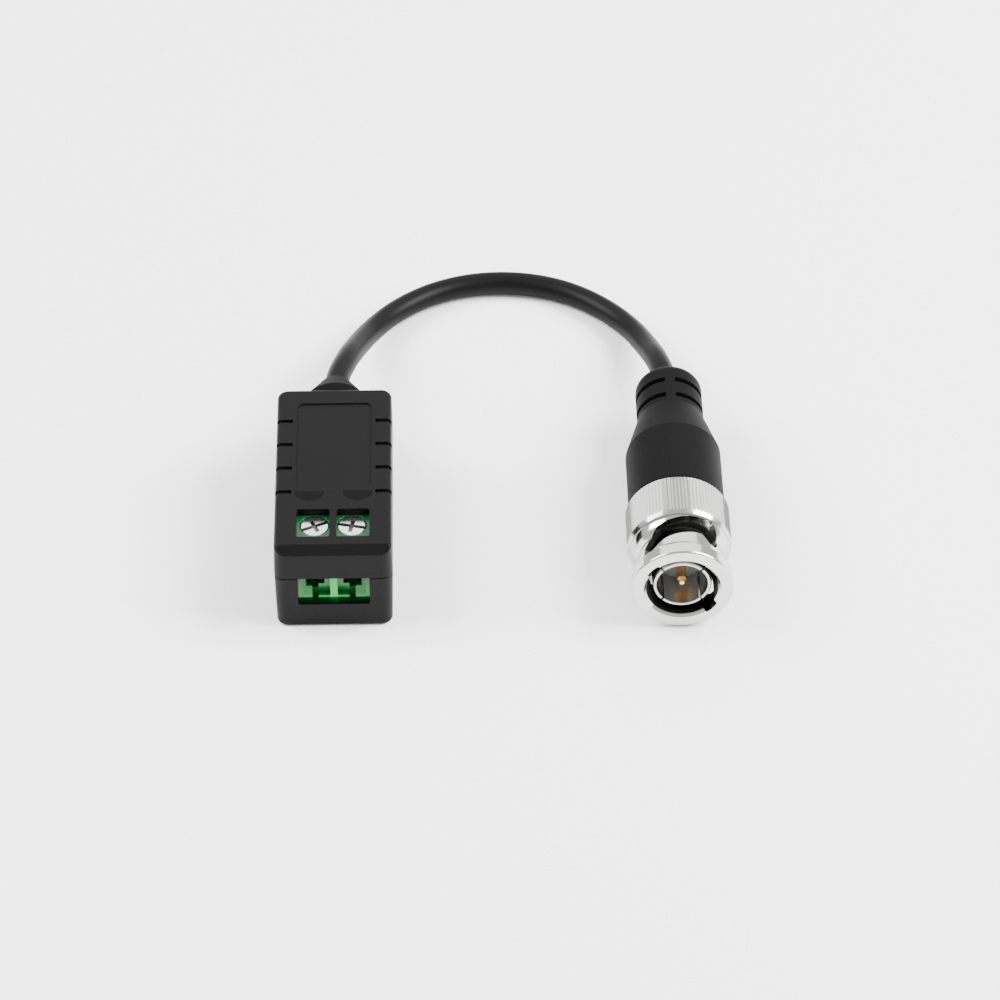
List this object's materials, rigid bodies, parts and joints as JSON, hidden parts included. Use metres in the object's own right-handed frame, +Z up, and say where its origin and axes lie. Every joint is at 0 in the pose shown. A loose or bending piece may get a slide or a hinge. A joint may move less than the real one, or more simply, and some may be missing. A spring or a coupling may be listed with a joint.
{
  "type": "cctv video balun",
  "caption": "Small two-part box with a two-way screw terminal in its front and a short coaxial cable from its back, ending in a moulded boot with a bayonet plug.",
  "frame": {"origin": "centre of the housing's flat underside", "axes": "+Z up, -Y the side where the wires enter, +Y the side where the cable leaves, +X towards the plug, which lies beside the housing with its mouth towards -Y"},
  "size_m": [0.0628, 0.0743, 0.0145],
  "materials": {
    "housing_plastic": "fine satin black",
    "cover_plastic": "fine satin black",
    "board_laminate": "solder mask green",
    "green_plastic": "satin green",
    "tinned_contact": "tin plated",
    "zinc_steel": "zinc plated",
    "clamp_steel": "nickel plated",
    "ferrite": "dull dark grey",
    "enamelled_wire": "enamelled copper",
    "black_epoxy": "moulded epoxy",
    "chip_ceramic": "satin",
    "tinned_wire": "tinned",
    "gland_rubber": "satin black",
    "cable_sheath": "satin black",
    "white_insulation": "natural",
    "boot_plastic": "satin black",
    "ferrule_nickel": "nickel plated",
    "body_nickel": "nickel plated",
    "sleeve_nickel": "nickel plated",
    "plug_insulation": "satin",
    "gold_pin": "gold plated",
    "gasket_rubber": "dull",
    "spring_steel": "bright",
    "washer_brass": "plain",
    "ring_steel": "bright",
    "nut_nickel": "nickel plated, fine straight knurl"
  },
  "bodies": {
    "balun": {"bottom_shell": "housing_plastic", "top_cover": "cover_plastic", "circuit_board": "board_laminate", "terminal_block": "green_plastic", "contact_left": "tinned_contact", "contact_right": "tinned_contact", "ferrite_core": "ferrite", "core_winding": "enamelled_wire", "surge_diode": "black_epoxy", "chip_parts": "chip_ceramic", "cable_leads": "tinned_wire", "cable_gland": "gland_rubber", "cable": "cable_sheath", "cable_core": "white_insulation", "plug_boot": "boot_plastic", "crimp_ferrule": "ferrule_nickel", "plug_body": "body_nickel", "outer_contact": "sleeve_nickel", "insulator": "plug_insulation", "centre_pin": "gold_pin", "gasket_ring": "gasket_rubber", "spring_washer": "spring_steel"},
    "washer_stack": {"slip_washer": "washer_brass", "retaining_ring": "ring_steel"},
    "nut": {"coupling_nut": "nut_nickel"},
    "left_screw": {"terminal_screw_left": "zinc_steel"},
    "left_cage": {"wire_clamp_left": "clamp_steel"},
    "right_screw": {"terminal_screw_right": "zinc_steel"},
    "right_cage": {"wire_clamp_right": "clamp_steel"}
  },
  "joints": [
    {"name": "nut_pull", "type": "slide", "parent": "balun", "child": "washer_stack", "axis": [0, -1, 0], "range_m": [0, 0.0008], "stiffness_N_per_m": 5000, "springref_m": -0.0002, "deforming": ["spring_washer"]},
    {"name": "nut_spin", "type": "hinge", "parent": "washer_stack", "child": "nut", "pos_m": [0.0475, -0.0102, 0.00725], "axis": [0, -1, 0], "continuous": true},
    {"name": "left_screw_turn", "type": "hinge", "parent": "balun", "child": "left_screw", "pos_m": [-0.00254, -0.0105, 0.0126], "axis": [0, 0, 1], "range_deg": [-1224, 0]},
    {"name": "left_cage_lift", "type": "slide", "parent": "balun", "child": "left_cage", "axis": [0, 0, 1], "range_m": [0, 0.0017]},
    {"name": "right_screw_turn", "type": "hinge", "parent": "balun", "child": "right_screw", "pos_m": [0.00254, -0.0105, 0.0126], "axis": [0, 0, 1], "range_deg": [-1224, 0]},
    {"name": "right_cage_lift", "type": "slide", "parent": "balun", "child": "right_cage", "axis": [0, 0, 1], "range_m": [0, 0.0017]}
  ],
  "couplings": [
    {"joint": "left_screw_turn", "follows": "left_cage_lift", "rad_per_m": -12566},
    {"joint": "right_screw_turn", "follows": "right_cage_lift", "rad_per_m": -12566}
  ]
}
